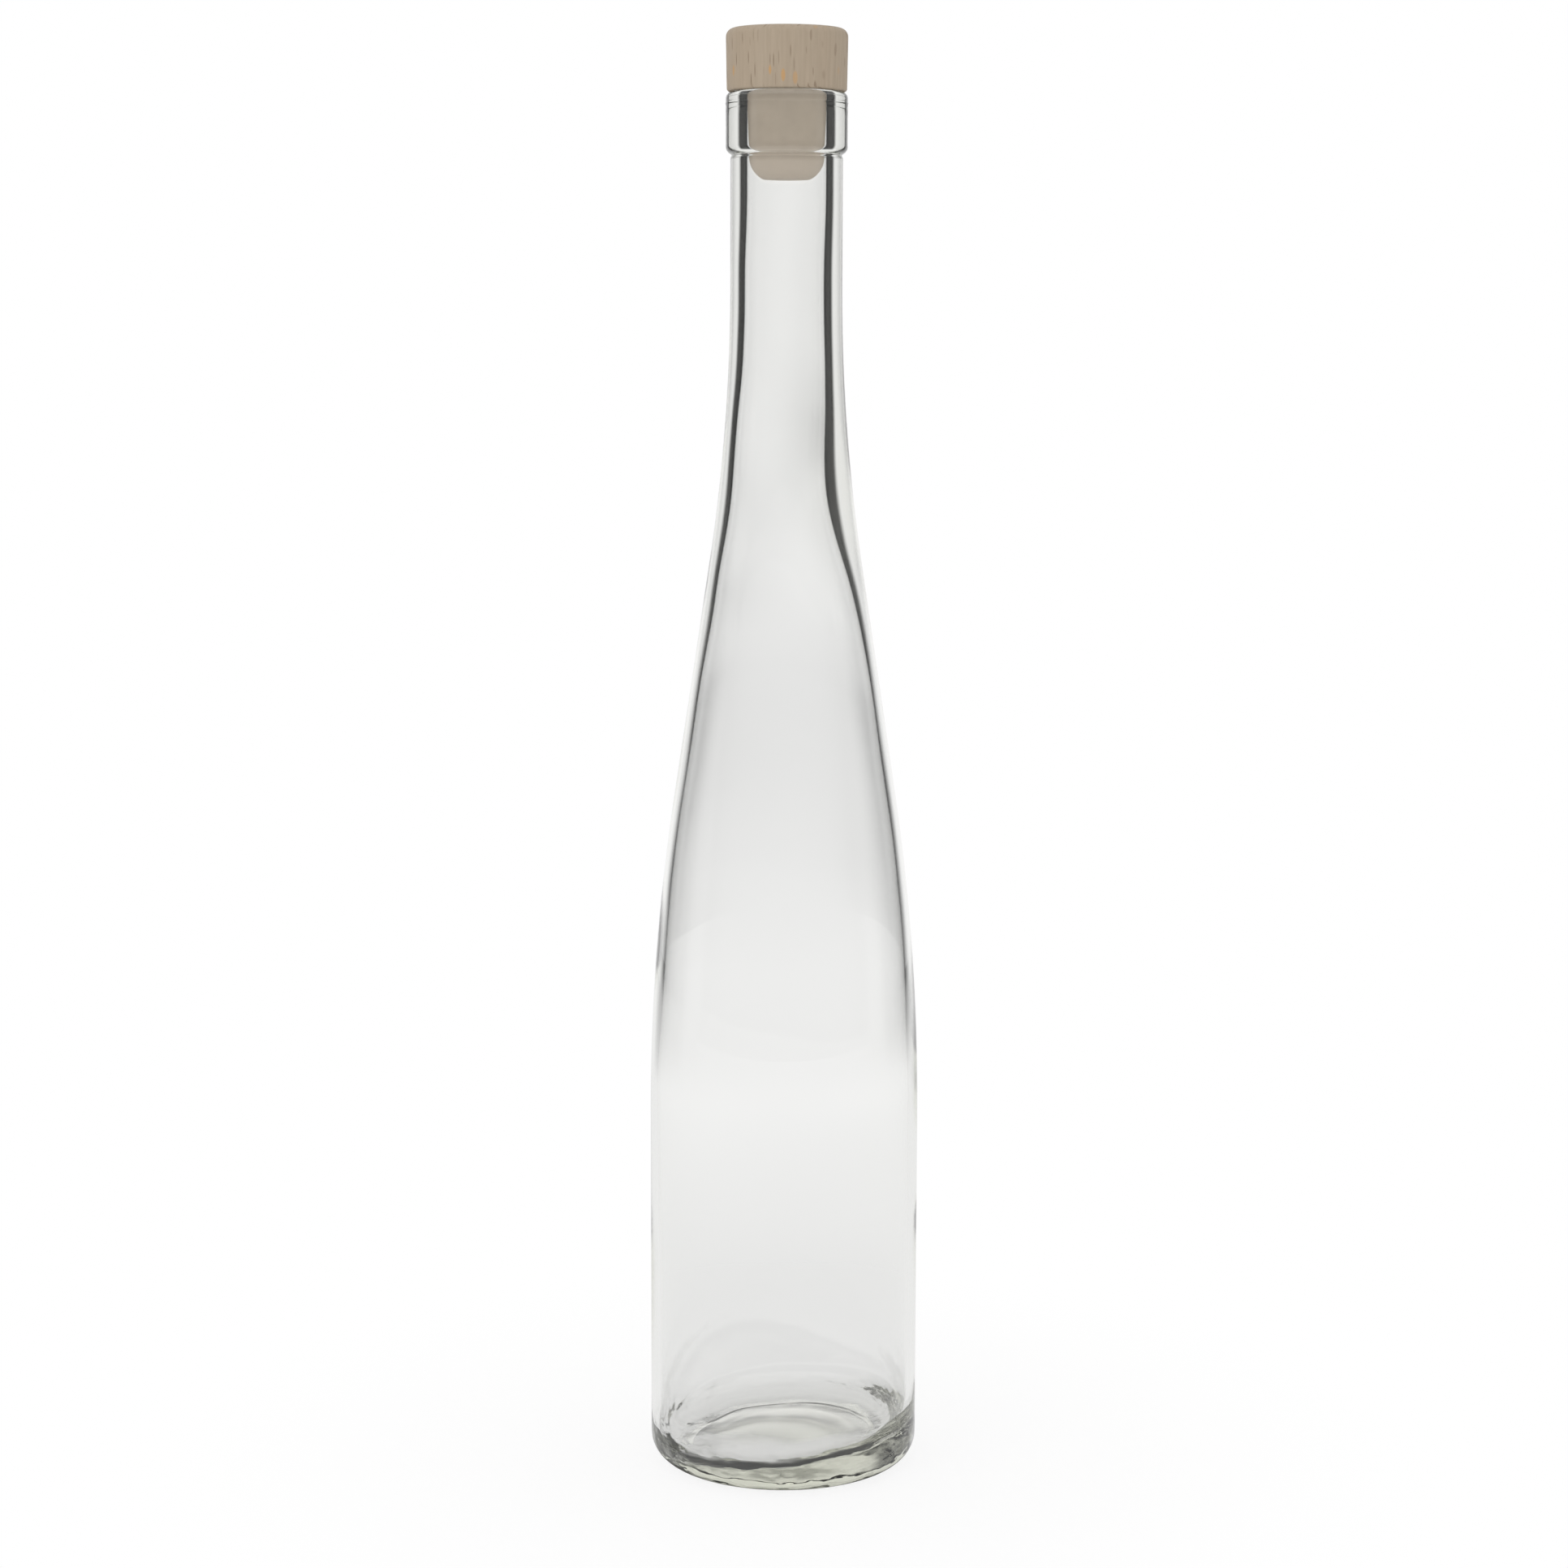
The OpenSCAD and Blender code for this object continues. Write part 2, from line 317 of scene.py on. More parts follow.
fade = add_node(tree, "MapRange", {"interpolation_type": "SMOOTHSTEP"},
                {"Value": far, "From Min": TABLE_FADE_FROM, "From Max": TABLE_FADE_TO,
                 "To Min": 1 - TABLE_LIT_SHARE, "To Max": 1.0})
bounced = has_been(tree, path, "Glossy Depth")
glow_share = add_node(tree, "Mix", inputs={"Factor": bounced, "A": fade.outputs[0], "B": 1.0})
scattered = has_been(tree, path, "Diffuse Depth")
glow_only = add_node(tree, "Math", {"operation": "SUBTRACT"}, {0: 1.0, 1: scattered})
glow_used = add_node(tree, "Math", {"operation": "MULTIPLY"},
                     {0: glow_share.outputs[0], 1: glow_only.outputs[0]})
# The glow's strength carries the painted shade and light that these rays see
painted_glow_level = add_node(tree, "Mix", inputs={"Factor": bounced, "A": straight.outputs[0],
                                           "B": painted_bounce_glow.outputs["Result"]})
glow = add_node(tree, "Emission", inputs={"Strength": painted_glow_level.outputs[0]})
paint = add_node(tree, "BsdfDiffuse", inputs={"Color": linear(TABLE_PAINT)})
both = add_node(tree, "MixShader", inputs={0: glow_used.outputs[0], 1: paint.outputs[0], 2: glow.outputs[0]})
add_node(tree, "OutputMaterial", inputs={"Surface": both.outputs[0]})
print(material.name, len(tree.nodes), "nodes")

# %% [markdown]
# ## One soft lamp
#
# The even sky already shows each colour as written. One large soft lamp from the upper left adds
# the slight fall-off that makes a turned piece look round. It lights matt surfaces only: glass
# would show it as a hard white patch.

# %% Soft lamp
LAMP_PLACE = (-0.55, -0.75, 0.75)
LAMP_SIZE = 0.6
LAMP_WATTS = 1.2
LAMP_TARGET = (0, 0, 0.3)

lamp_data = bpy.data.lights.new("soft_lamp", "AREA")
lamp_data.size = LAMP_SIZE
lamp_data.energy = LAMP_WATTS
lamp = bpy.data.objects.new("soft_lamp", lamp_data)
lamp.location = LAMP_PLACE
lamp_target = mathutils.Vector(LAMP_TARGET)
lamp.rotation_euler = (lamp_target - lamp.location).to_track_quat("-Z", "Y").to_euler()
lamp.visible_camera = False
lamp.visible_glossy = False
lamp.visible_transmission = False
scene.collection.objects.link(lamp)
print("lamp", LAMP_WATTS, "W")

# %% [markdown]
# ## The bottle's outline
#
# A bottle is round, so half of its outline says everything. The outside is a heel, a straight
# body, a convex arc, a straight taper, a concave arc and a neck, each tangent to the next, and a
# band with a groove under it. The inside follows at a distance that changes with height: blown
# glass is thickest in the neck and the base and thinnest in the shoulder.

# %% Sizes of the glass, in metres
GLASS_HEIGHT = 327.5 * MM
BODY_RADIUS = 32.2 * MM
NECK_LENGTH = 29.5 * MM
SHOULDER_RADIUS = 520 * MM
TAPER = math.radians(8.6)
FLARE_RADIUS = 433 * MM
NECK_RADIUS = 13.1 * MM
BAND_RADIUS = 14.2 * MM
BAND_HEIGHT = 14.6 * MM
BAND_EDGE = 1.9 * MM
BAND_ANGLE = math.radians(62)
GROOVE_DEPTH = 0.25 * MM
GROOVE_EDGE = 0.4 * MM
GROOVE_ANGLE = math.radians(35)
LIP_EDGE = 1.6 * MM
MOUTH_EDGE = 0.8 * MM
BORE_RADIUS = 9.25 * MM
BODY_WALL = 2.3 * MM
SHOULDER_WALL = 2.05 * MM
NECK_WALL = NECK_RADIUS - BORE_RADIUS

# %% Sizes of the base, in metres
HEEL_RADIUS = 6.4 * MM
STANDING_WIDTH = 2.2 * MM
PUNT_HEIGHT = 0.8 * MM
PUNT_EDGE = 0.9 * MM
PUNT_ANGLE = math.radians(25)
LEDGE_WIDTH = 3 * MM
PUNT_CROWN = 1.5 * MM
BASE_THICKNESS = 4.5 * MM
FLOOR_HEIGHT = 6.6 * MM
FLOOR_EDGE = 6 * MM

# %% Heights along the shoulder
convex_height = SHOULDER_RADIUS * math.sin(TAPER)
convex_in = SHOULDER_RADIUS * (1 - math.cos(TAPER))
concave_height = FLARE_RADIUS * math.sin(TAPER)
concave_in = FLARE_RADIUS * (1 - math.cos(TAPER))
taper_height = (BODY_RADIUS - NECK_RADIUS - convex_in - concave_in) / math.tan(TAPER)
shoulder_height = convex_height + taper_height + concave_height
groove_top = GLASS_HEIGHT - BAND_HEIGHT
body_height = groove_top - NECK_LENGTH - shoulder_height
neck_start = body_height + shoulder_height
print("body", round(body_height / MM, 1), "mm, shoulder", round(shoulder_height / MM, 1), "mm")


# %% Curves that the outline is made of
# Steps along a small bend
BEND_STEPS = 6


def smooth(share):
    """0 at and below 0, 1 at and above 1, and a soft rise between."""
    share = min(max(share, 0.0), 1.0)
    return share * share * (3 - 2 * share)


def arc(centre, height, radius, start, end, steps):
    """Points on an arc, with its angles in degrees from pointing outwards."""
    turns = [math.radians(start + (end - start) * i / steps) for i in range(steps + 1)]
    return [(centre + radius * math.cos(t), height + radius * math.sin(t)) for t in turns]


def bend_length(step, first, second, angle):
    """How far an S-bend runs while it steps sideways."""
    straight_step = step - (first + second) * (1 - math.cos(angle))
    return (first + second) * math.sin(angle) + straight_step / math.tan(angle)


def s_bend(start, end, height, first, second, angle, steps=BEND_STEPS):
    """Points of an S-bend that starts and ends upright, and steps from one radius to another."""
    way = 1 if end > start else -1
    top = height + bend_length(abs(end - start), first, second, angle)
    turns = [angle * i / steps for i in range(steps + 1)]
    return ([(start + way * first * (1 - math.cos(t)), height + first * math.sin(t)) for t in turns]
            + [(end - way * second * (1 - math.cos(t)), top - second * math.sin(t)) for t in reversed(turns)])


def spread(low, high, step):
    """Evenly spaced heights, both ends included, about one step apart."""
    count = max(1, round(abs(high - low) / step))
    return [low + (high - low) * i / count for i in range(count + 1)]


# %% Outside radius and wall at a height
def outside_radius(z):
    """Outside radius of the body, shoulder and neck."""
    up = z - body_height
    down = shoulder_height - up
    if up <= 0:
        return BODY_RADIUS
    if down <= 0:
        return NECK_RADIUS
    if up <= convex_height:
        return BODY_RADIUS - SHOULDER_RADIUS + math.sqrt(SHOULDER_RADIUS ** 2 - up ** 2)
    if down >= concave_height:
        return BODY_RADIUS - convex_in - (up - convex_height) * math.tan(TAPER)
    return NECK_RADIUS + FLARE_RADIUS - math.sqrt(FLARE_RADIUS ** 2 - down ** 2)


# Where the wall changes, as shares of the shoulder's height
THIN_FROM_SHARE, THIN_TO_SHARE, THICK_FROM_SHARE = 0.34, 0.49, 0.84


def wall(z):
    """Thickness of the glass at a height."""
    share = (z - body_height) / shoulder_height
    thickening = smooth((share - THIN_TO_SHARE) / (THICK_FROM_SHARE - THIN_TO_SHARE))
    return (BODY_WALL + (SHOULDER_WALL - BODY_WALL) * smooth(share / THIN_FROM_SHARE)
            + (NECK_WALL - SHOULDER_WALL) * thickening)


# %% Outline of the underside and the heel
DOME_STEPS = 12
HEEL_STEPS = 12

standing_out = BODY_RADIUS - HEEL_RADIUS
standing_in = standing_out - STANDING_WIDTH
side_width = bend_length(PUNT_HEIGHT, PUNT_EDGE, PUNT_EDGE, PUNT_ANGLE)
dome_radius = standing_in - side_width - LEDGE_WIDTH
dome_top = PUNT_HEIGHT + PUNT_CROWN
ball = (dome_radius ** 2 + PUNT_CROWN ** 2) / (2 * PUNT_CROWN)
dome_turns = [math.asin(dome_radius / ball) * i / DOME_STEPS for i in range(DOME_STEPS + 1)]
dome = [(ball * math.sin(t), dome_top - ball * (1 - math.cos(t))) for t in dome_turns]
punt_side = [(standing_in - height, radius) for radius, height in
             s_bend(0, PUNT_HEIGHT, 0, PUNT_EDGE, PUNT_EDGE, PUNT_ANGLE)]
heel = arc(standing_out, HEEL_RADIUS, HEEL_RADIUS, -90, 0, HEEL_STEPS)
print("stands on a ring of radius", round(standing_in / MM, 1), "to", round(standing_out / MM, 1), "mm")

# %% Outline of the side, the neck and the groove
# Height between two rings of points, where the outline is straight or nearly so
RING_STEP = 2.2 * MM
EDGE_STEPS = 10

side = [(outside_radius(z), z) for z in spread(HEEL_RADIUS + RING_STEP, neck_start, RING_STEP)]
groove_floor = NECK_RADIUS - GROOVE_DEPTH
groove_curve = min(GROOVE_EDGE, GROOVE_DEPTH / (1 - math.cos(GROOVE_ANGLE)) / 2)
groove_start = groove_top - bend_length(GROOVE_DEPTH, groove_curve, groove_curve, GROOVE_ANGLE)
neck = [(NECK_RADIUS, z) for z in spread(neck_start + RING_STEP, groove_start - RING_STEP, RING_STEP)]
groove = s_bend(NECK_RADIUS, groove_floor, groove_start, groove_curve, groove_curve, GROOVE_ANGLE)
print("groove from", round(groove_start / MM, 1), "to", round(groove_top / MM, 1), "mm")

# %% Outline of the band, the lip and the mouth
# The line where the mould's two lip rings meet: a fine ridge round the lip
LIP_LINE_HEIGHT = 324.8 * MM
LIP_LINE_RISE = 0.09 * MM
LIP_LINE_HALF = 0.3 * MM
LIP_LINE_STEPS = 3

band_room = (BAND_RADIUS - groove_floor) / (1 - math.cos(BAND_ANGLE))
band_round = min(BAND_EDGE, band_room - groove_curve)
band_foot = s_bend(groove_floor, BAND_RADIUS, groove_top, groove_curve, band_round, BAND_ANGLE, EDGE_STEPS)
band = [(BAND_RADIUS, z) for z in spread(band_foot[-1][1] + RING_STEP,
                                         LIP_LINE_HEIGHT - LIP_LINE_HALF, RING_STEP)]
lip_line = [(BAND_RADIUS + LIP_LINE_RISE * (0.5 + 0.5 * math.cos(math.pi * i / LIP_LINE_STEPS)),
             LIP_LINE_HEIGHT + LIP_LINE_HALF * i / LIP_LINE_STEPS)
            for i in range(1 - LIP_LINE_STEPS, LIP_LINE_STEPS + 1)]
lip = arc(BAND_RADIUS - LIP_EDGE, GLASS_HEIGHT - LIP_EDGE, LIP_EDGE, 0, 90, EDGE_STEPS)
mouth = arc(BORE_RADIUS + MOUTH_EDGE, GLASS_HEIGHT - MOUTH_EDGE, MOUTH_EDGE, 90, 180, BEND_STEPS)
print("band points", len(band_foot) + len(band) + len(lip_line) + len(lip))

# %% Outline of the inside, and the whole
FLOOR_STEPS = 14

cavity_radius = BODY_RADIUS - BODY_WALL
floor_radius = cavity_radius - FLOOR_EDGE
floor_rise = dome_top + BASE_THICKNESS - FLOOR_HEIGHT
inside = [(outside_radius(z) - wall(z), z) for z in
          spread(mouth[-1][1] - RING_STEP, FLOOR_HEIGHT + FLOOR_EDGE + RING_STEP, RING_STEP)]
fillet = arc(floor_radius, FLOOR_HEIGHT + FLOOR_EDGE, FLOOR_EDGE, 0, -90, FLOOR_STEPS)
floor_shares = [i / FLOOR_STEPS for i in range(1, FLOOR_STEPS + 1)]
floor = [(floor_radius * (1 - share), FLOOR_HEIGHT + floor_rise * smooth(share)) for share in floor_shares]
glass_outline = (dome + punt_side[::-1][1:] + heel + side + neck + groove + band_foot[1:] + band
                 + lip_line + lip + mouth + inside + fillet + floor)
print("outline points", len(glass_outline))

# %% [markdown]
# ## Turning the outline into a solid
#
# One point is drawn out into the outline, a small extrude at a time, and the outline is then
# spun once round the axis, as a lathe would. Doubles are merged where the spin closes on itself
# and at the two poles, and the normals are made to point out of the glass.


# %% Draw an outline and spin it
def turned_piece(name, outline, steps):
    """A solid of revolution about Z, from a half outline of radius and height."""
    cleared()
    first_radius, first_height = outline[0]
    bpy.ops.mesh.primitive_plane_add(size=MM, location=(first_radius, 0, first_height))
    piece = bpy.context.object
    piece.name = name
    piece.data.name = name
    bpy.ops.object.transform_apply(location=True, rotation=True, scale=True)
    bpy.ops.object.mode_set(mode="EDIT")
    bpy.ops.mesh.select_mode(type="VERT")
    bpy.ops.mesh.select_all(action="SELECT")
    bpy.ops.mesh.merge(type="CENTER")
    for (r0, z0), (r1, z1) in zip(outline, outline[1:]):
        bpy.ops.mesh.extrude_vertices_move(TRANSFORM_OT_translate={"value": (r1 - r0, 0, z1 - z0)})
    bpy.ops.mesh.select_all(action="SELECT")
    bpy.ops.mesh.spin(steps=steps, angle=2 * math.pi, center=(0, 0, 0), axis=(0, 0, 1))
    bpy.ops.mesh.select_all(action="SELECT")
    bpy.ops.mesh.remove_doubles(threshold=MM / 1000)
    bpy.ops.mesh.normals_make_consistent(inside=False)
    bpy.ops.object.mode_set(mode="OBJECT")
    bpy.ops.object.shade_smooth()
    print(name, len(piece.data.vertices), "vertices", len(piece.data.polygons), "faces")
    return piece


# %% Turn the glass
GLASS_STEPS = 224

glass = turned_piece("bottle_blown_glass", glass_outline, GLASS_STEPS)

# %% [markdown]
# ## A wall that isn't even
#
# A blown bottle is exact outside, where the mould was, and free inside. Here the cavity leans a
# millimetre to one side in the lower neck, the floor lies at a slant, and the wall has slow
# waves. Each is a Displace modifier that moves only the inside, held to it by a vertex group
# whose weights come from height and place. The last one also moves the pushed-up middle of the
# underside, which chills as unevenly as the floor above it.


# %% Weights on the inside wall
def weigh(piece, name, weight_at):
    """A vertex group whose weight at each vertex comes from a function of its place."""
    group = piece.vertex_groups.new(name=name)
    for vertex in piece.data.vertices:
        weight = weight_at(vertex.co.x, vertex.co.y, vertex.co.z)
        if weight > 0:
            group.add([vertex.index], weight, "REPLACE")
    return group.name


def is_inside(x, y, z):
    """Whether a point of the glass lies on the cavity's wall or floor."""
    return z > dome_top + MM and math.hypot(x, y) < outside_radius(z) - wall(z) / 2


# %% A cavity that leans
LEAN = 1.1 * MM
# It starts at the first height, is whole at the second, and is eased to its share at the third
LEAN_FROM, LEAN_FULL, LEAN_EASED = 203 * MM, 238 * MM, 268 * MM
LEAN_LEFT_SHARE = 0.28
LEAN_OUT, LEAN_END = 284 * MM, 305 * MM


def lean_at(x, y, z):
    """How much of the sideways lean a point takes."""
    rise = smooth((z - LEAN_FROM) / (LEAN_FULL - LEAN_FROM))
    eased = 1 - (1 - LEAN_LEFT_SHARE) * smooth((z - LEAN_FULL) / (LEAN_EASED - LEAN_FULL))
    fall = eased * (1 - smooth((z - LEAN_OUT) / (LEAN_END - LEAN_OUT)))
    return rise * fall if is_inside(x, y, z) else 0


# %% A floor that slants
FLOOR_SLANT = 6.2 * MM
FLOOR_HIGH_SIDE = math.radians(22)
SLANT_FROM, SLANT_TO = 12 * MM, 40 * MM


def floor_at(x, y, z):
    """How much a point belongs to the floor: all near it, and none further up the wall."""
    return 1 - smooth((z - SLANT_FROM) / (SLANT_TO - SLANT_FROM)) if is_inside(x, y, z) else 0


def slant_at(x, y, z):
    """How much of the floor's slant a point takes, none on the low side and all on the high side."""
    across = (x * math.cos(FLOOR_HIGH_SIDE) + y * math.sin(FLOOR_HIGH_SIDE)) / cavity_radius
    return (0.5 + 0.5 * across) * floor_at(x, y, z)


# %% Gathered glass
# Glass gathers at the foot of the neck, on the two sides where the mould closed
GATHER_HEIGHT, GATHER_REACH, GATHER_RISE = 234 * MM, 22 * MM, 0.6 * MM


def gathered_at(x, y, z):
    """How much of the gathered glass a point takes: most at the left and right, none in front."""
    side = x * x / max(x * x + y * y, MM * MM)
    return side * smooth(1 - abs(z - GATHER_HEIGHT) / GATHER_REACH) if is_inside(x, y, z) else 0


# %% Slow waves, and the chill's
WAVE_RISE = 0.35 * MM
WAVE_LENGTH = 26 * MM
# The waves end this far below the straight neck, and fade over the second length
WAVE_LEAD, WAVE_EASE = 2 * RING_STEP, 8 * RING_STEP
# Where the hot glass first met the cold mould, in the base, it stays wavy
CHILL_RISE = 0.35 * MM
CHILL_LENGTH = 12 * MM
CHILL_FROM, CHILL_TO = 12 * MM, 24 * MM


def waves_at(x, y, z):
    """How much of the waves a point takes: none in the bore, where the stopper seals."""
    return 1 - smooth((z - neck_start + WAVE_LEAD) / WAVE_EASE) if is_inside(x, y, z) else 0


def chilled_at(x, y, z):
    """How much of the chill's waves a point takes: none on the ring that the bottle stands on."""
    outside = math.hypot(x, y) > standing_in - MM and not is_inside(x, y, z)
    return 0 if outside else 1 - smooth((z - CHILL_FROM) / (CHILL_TO - CHILL_FROM))


# %% Move the inside wall
def displaced(piece, name, direction, strength, group, texture=None):
    """Adds one Displace modifier and applies it."""
    change = piece.modifiers.new(name, "DISPLACE")
    change.direction = direction
    change.strength = strength
    change.mid_level = 0.5 if texture else 0
    change.vertex_group = group
    change.texture = texture
    only(piece)
    bpy.ops.object.modifier_apply(modifier=change.name)


def cloud_texture(name, length):
    """A soft texture whose spots are about one length across."""
    texture = bpy.data.textures.new(name, "CLOUDS")
    texture.noise_scale = length
    texture.noise_depth = 0
    return texture


displaced(glass, "gathered", "NORMAL", GATHER_RISE, weigh(glass, "gathered", gathered_at))
displaced(glass, "lean", "X", -LEAN, weigh(glass, "lean", lean_at))
displaced(glass, "slant", "Z", FLOOR_SLANT, weigh(glass, "slant", slant_at))
displaced(glass, "lower", "Z", -FLOOR_SLANT / 2, weigh(glass, "floor", floor_at))
displaced(glass, "waves", "NORMAL", WAVE_RISE, weigh(glass, "waves", waves_at),
          cloud_texture("slow_waves", WAVE_LENGTH))
displaced(glass, "chill", "NORMAL", CHILL_RISE, weigh(glass, "chill", chilled_at),
          cloud_texture("chill_waves", CHILL_LENGTH))
print("glass box", [round(v / MM, 1) for v in glass.dimensions])

# %% [markdown]
# ## Glass
#
# Soda-lime glass, blown in a mould and fire-polished. Its refractive index is 1.52, its surface
# is as smooth as a liquid's, and iron in the sand tints it faintly green where it is thick. The
# tint is in the volume, so that it deepens by itself in the base. The heel and the underside met
# the cold mould first, so the heel stays wavy and the underside has a matt skin. Together they
# give the soft, mottled olive tone of a bottle's foot.

# %% Ripple of the fire-polished wall
RIPPLE_LENGTH_MM = 7
RIPPLE_RISE = 0.004 * MM
# Blowing draws the ripple out along the bottle
RIPPLE_STRETCH = (1, 1, 0.35)

material, tree = new_material("blown_soda_lime_glass")
place = add_node(tree, "TexCoord").outputs["Object"]
stretch = add_node(tree, "Mapping", inputs={"Vector": place, "Scale": RIPPLE_STRETCH})
ripple = add_node(tree, "TexNoise", inputs={"Vector": stretch.outputs[0], "Detail": 1.0,
                                            "Scale": 1 / (RIPPLE_LENGTH_MM * MM)})
bump = add_node(tree, "Bump", inputs={"Height": ripple.outputs["Fac"], "Distance": RIPPLE_RISE,
                                      "Strength": 1.0})
axes = add_node(tree, "SeparateXYZ", inputs={"Vector": place})
height = axes.outputs["Z"]
flat = add_node(tree, "CombineXYZ", inputs={"X": axes.outputs["X"], "Y": axes.outputs["Y"]})
reach = add_node(tree, "VectorMath", {"operation": "DISTANCE"},
                 {0: flat.outputs[0], 1: (0, 0, 0)}).outputs["Value"]
print("ripple", RIPPLE_LENGTH_MM, "mm")

# %% Waves of the heel
CHILL_BUMP_MM, CHILL_BUMP_RISE = 8, 0.8 * MM
CHILL_BUMP_STRETCH = (1, 1, 1.8)
# Whole up to the first height and gone at the second, and whole from the second distance outwards
CHILL_BUMP_FROM, CHILL_BUMP_TO = 7 * MM, 14 * MM
CHILL_BUMP_IN, CHILL_BUMP_OUT = 17 * MM, 25 * MM

chill_place = add_node(tree, "Mapping", inputs={"Vector": place, "Scale": CHILL_BUMP_STRETCH})
chilled = add_node(tree, "TexNoise", inputs={"Vector": chill_place.outputs[0], "Detail": 1.5,
                                             "Scale": 1 / (CHILL_BUMP_MM * MM)})
chill_low = add_node(tree, "MapRange", {"interpolation_type": "SMOOTHSTEP"},
                     {"Value": height, "From Min": CHILL_BUMP_TO, "From Max": CHILL_BUMP_FROM})
chill_wide = add_node(tree, "MapRange", {"interpolation_type": "SMOOTHSTEP"},
                      {"Value": reach, "From Min": CHILL_BUMP_IN, "From Max": CHILL_BUMP_OUT})
chill_mask = add_node(tree, "Math", {"operation": "MULTIPLY"},
                      {0: chill_low.outputs[0], 1: chill_wide.outputs[0]})
chill_bump = add_node(tree, "Bump", inputs={"Height": chilled.outputs["Fac"], "Distance": CHILL_BUMP_RISE,
                                            "Strength": chill_mask.outputs[0], "Normal": bump.outputs[0]})
print("heel waves", CHILL_BUMP_MM, "mm")

# %% Stipple of the ring that it stands on
# The dots let the bottle grip the moving belt that carries it to be cooled
STIPPLE_LENGTH_MM = 1.1
STIPPLE_RISE = 0.05 * MM
STIPPLE_TOP, STIPPLE_GONE = 0.5 * MM, 1.2 * MM
# Past the ring's outer edge, the mould's skin is whole to the first distance and gone at the second
SKIN_WHOLE, SKIN_GONE = 1 * MM, 2.4 * MM

from_in = add_node(tree, "MapRange", {"interpolation_type": "SMOOTHSTEP"},
                   {"Value": reach, "From Min": standing_in - MM, "From Max": standing_in})
to_out = add_node(tree, "MapRange", {"interpolation_type": "SMOOTHSTEP"},
                  {"Value": reach, "From Min": standing_out + SKIN_GONE,
                   "From Max": standing_out + SKIN_WHOLE})
low = add_node(tree, "MapRange", {"interpolation_type": "SMOOTHSTEP"},
               {"Value": height, "From Min": STIPPLE_GONE, "From Max": STIPPLE_TOP})
between = add_node(tree, "Math", {"operation": "MULTIPLY"}, {0: from_in.outputs[0], 1: to_out.outputs[0]})
ring_mask = add_node(tree, "Math", {"operation": "MULTIPLY"}, {0: between.outputs[0], 1: low.outputs[0]})
dots = add_node(tree, "TexVoronoi", {"feature": "SMOOTH_F1"},
                {"Vector": place, "Scale": 1 / (STIPPLE_LENGTH_MM * MM), "Smoothness": 0.4})
dots_here = add_node(tree, "Math", {"operation": "MULTIPLY"},
                     {0: dots.outputs["Distance"], 1: ring_mask.outputs[0]})
stipple = add_node(tree, "Bump", inputs={"Height": dots_here.outputs[0], "Distance": STIPPLE_RISE,
                                         "Strength": 1.0, "Normal": chill_bump.outputs[0]})
print("stipple", STIPPLE_LENGTH_MM, "mm")

# %% Matt skin of the underside
UNDERSIDE_ROUGHNESS = 0.2
UNDERSIDE_TOP, UNDERSIDE_GONE = 2.6 * MM, 4.2 * MM

below = add_node(tree, "MapRange", {"interpolation_type": "SMOOTHSTEP"},
                 {"Value": height, "From Min": UNDERSIDE_GONE, "From Max": UNDERSIDE_TOP})
under = add_node(tree, "Math", {"operation": "MULTIPLY"}, {0: to_out.outputs[0], 1: below.outputs[0]})
rough = add_node(tree, "Math", {"operation": "MULTIPLY"}, {0: under.outputs[0], 1: UNDERSIDE_ROUGHNESS})
print("underside roughness", UNDERSIDE_ROUGHNESS)

# %% Soda-lime glass
GLASS_IOR = 1.52
GLASS_TINT = "#e6e7dc"
# Metres of glass over which white light takes on the tint
GLASS_TINT_DEPTH = 0.034

glass_shader = add_node(tree, "BsdfPrincipled", inputs={
    "Base Color": linear("#ffffff"), "Roughness": rough.outputs[0], "IOR": GLASS_IOR,
    "Transmission Weight": 1.0, "Normal": stipple.outputs[0]})
tint = add_node(tree, "VolumeAbsorption", inputs={"Color": linear(GLASS_TINT),
                                                  "Density": 1 / GLASS_TINT_DEPTH})
add_node(tree, "OutputMaterial", inputs={"Surface": glass_shader.outputs[0], "Volume": tint.outputs[0]})
glass.data.materials.append(material)
print(material.name, len(tree.nodes), "nodes")

# %% [markdown]
# ## The wooden head
#
# A disc turned from beech with the grain running up it. Here it starts as a cylinder: the rims
# are rounded with Bevel, the foot is drawn in a little, the top is inset and lifted into a very
# low dome, and a socket is cut up into the underside for the plug's spigot.

# %% Sizes of the head, in metres
HEAD_RADIUS = 14.2 * MM
HEAD_FOOT_RADIUS = 13.95 * MM
HEAD_HEIGHT = 14.7 * MM
HEAD_EDGE = 2 * MM
HEAD_FOOT_EDGE = 0.6 * MM
HEAD_CROWN = 0.3 * MM
SOCKET_RADIUS = 6.25 * MM
SOCKET_DEPTH = 6.85 * MM
# A hair's gap over the lip, so that wood and glass don't share a face
SEAT_GAP = 0.04 * MM
HEAD_SIDES = 160
HEAD_EDGE_STEPS, HEAD_FOOT_STEPS = 8, 4
# Faces that meet at more than this stay sharp
SHARP_ANGLE = math.radians(35)

seat = GLASS_HEIGHT
print("head", round(HEAD_RADIUS * 2 / MM, 1), "mm across, seated at", round(seat / MM, 1), "mm")


# %% Select by place
def select_where(piece, kind, test):
    """In edit mode, selects the vertices, edges or faces whose centre passes a test."""
    bpy.ops.mesh.select_mode(type=kind)
    bpy.ops.mesh.select_all(action="DESELECT")
    bpy.ops.object.mode_set(mode="OBJECT")
    mesh = piece.data
    if kind == "FACE":
        for face in mesh.polygons:
            face.select = test(face.center)
    elif kind == "EDGE":
        for edge in mesh.edges:
            ends = [mesh.vertices[v].co for v in edge.vertices]
            edge.select = all(test(end) for end in ends)
    else:
        for vertex in mesh.vertices:
            vertex.select = test(vertex.co)
    bpy.ops.object.mode_set(mode="EDIT")


